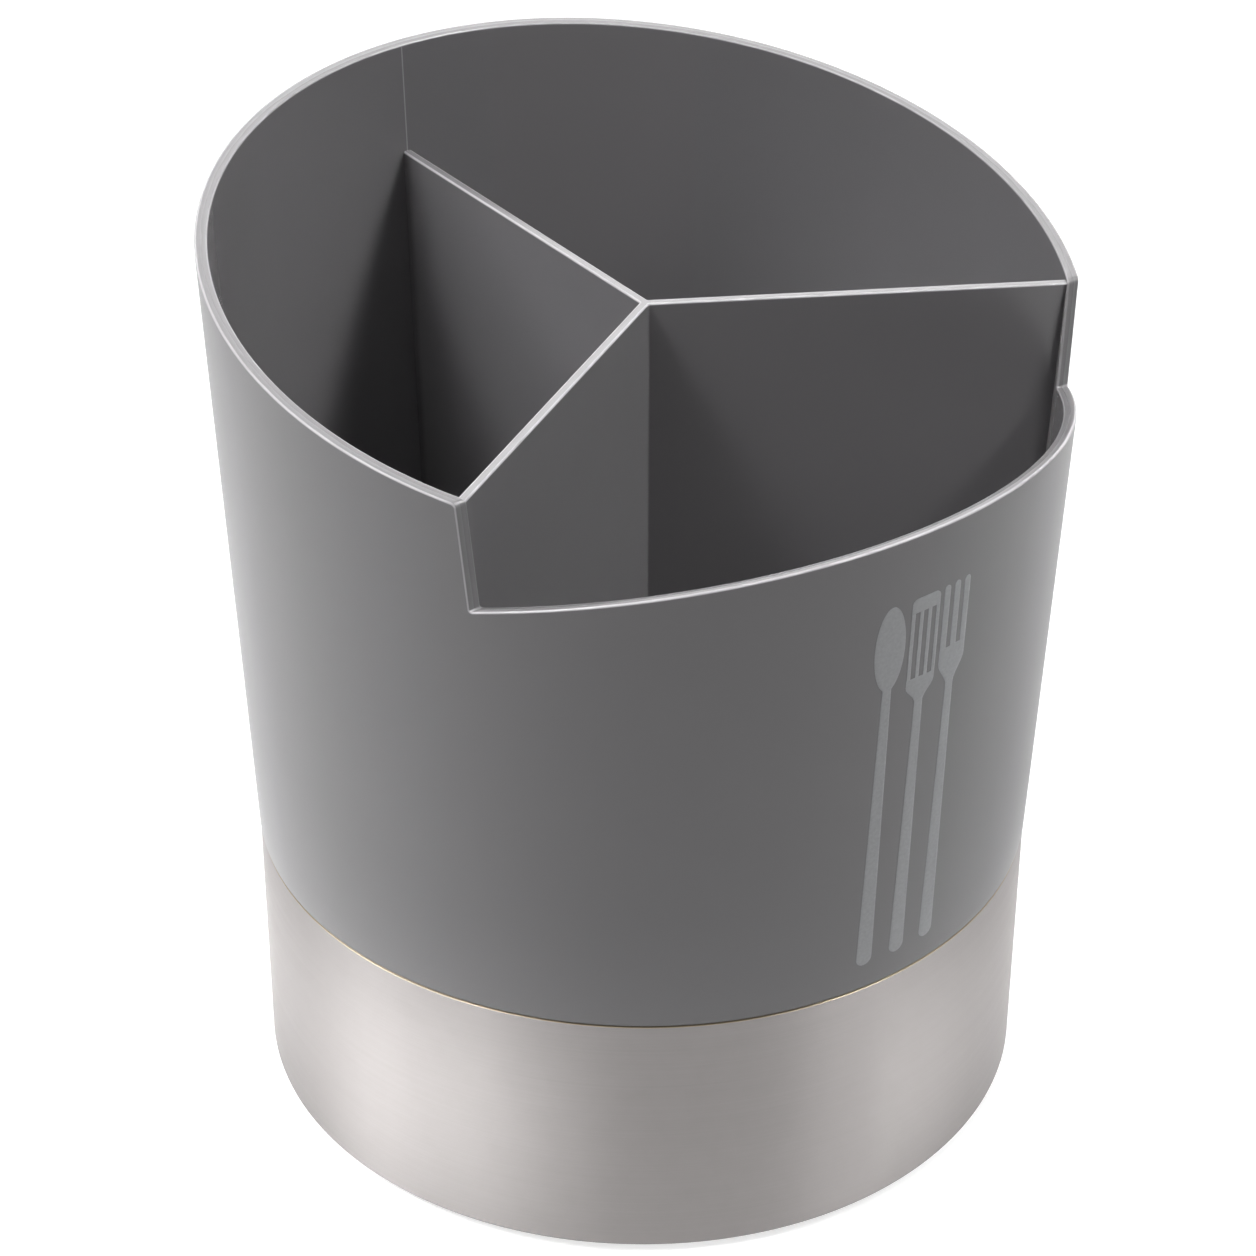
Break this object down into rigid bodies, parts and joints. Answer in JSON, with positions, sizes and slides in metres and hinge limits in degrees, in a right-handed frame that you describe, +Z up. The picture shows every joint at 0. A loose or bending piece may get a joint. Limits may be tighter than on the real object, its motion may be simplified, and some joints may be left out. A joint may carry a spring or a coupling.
{
  "type": "utensil holder",
  "caption": "Round worktop utensil holder with a slanted, stepped rim, inner dividers and a brushed steel band round its foot.",
  "frame": {"origin": "centre of the underside of the non-slip disc, on the surface that the holder stands on, where the axis of the round wall meets it", "axes": "+Z up along the axis of the round wall, -Y towards the low front lip, +Y towards the high back, +X to the right seen from the front"},
  "size_m": [0.1368, 0.1366, 0.1565],
  "materials": {
    "grey_plastic": "mid grey injection-moulded plastic, satin, with a fine even texture",
    "brushed_steel": "stainless steel sheet, brushed round the band",
    "plate_plastic": "dark grey moulded plastic, matt",
    "soft_disc": "black closed-cell foam rubber, matt"
  },
  "bodies": {
    "root": {"holder_body": "grey_plastic", "steel_band": "brushed_steel", "base_plate": "plate_plastic", "non_slip_disc": "soft_disc"}
  },
  "joints": []
}
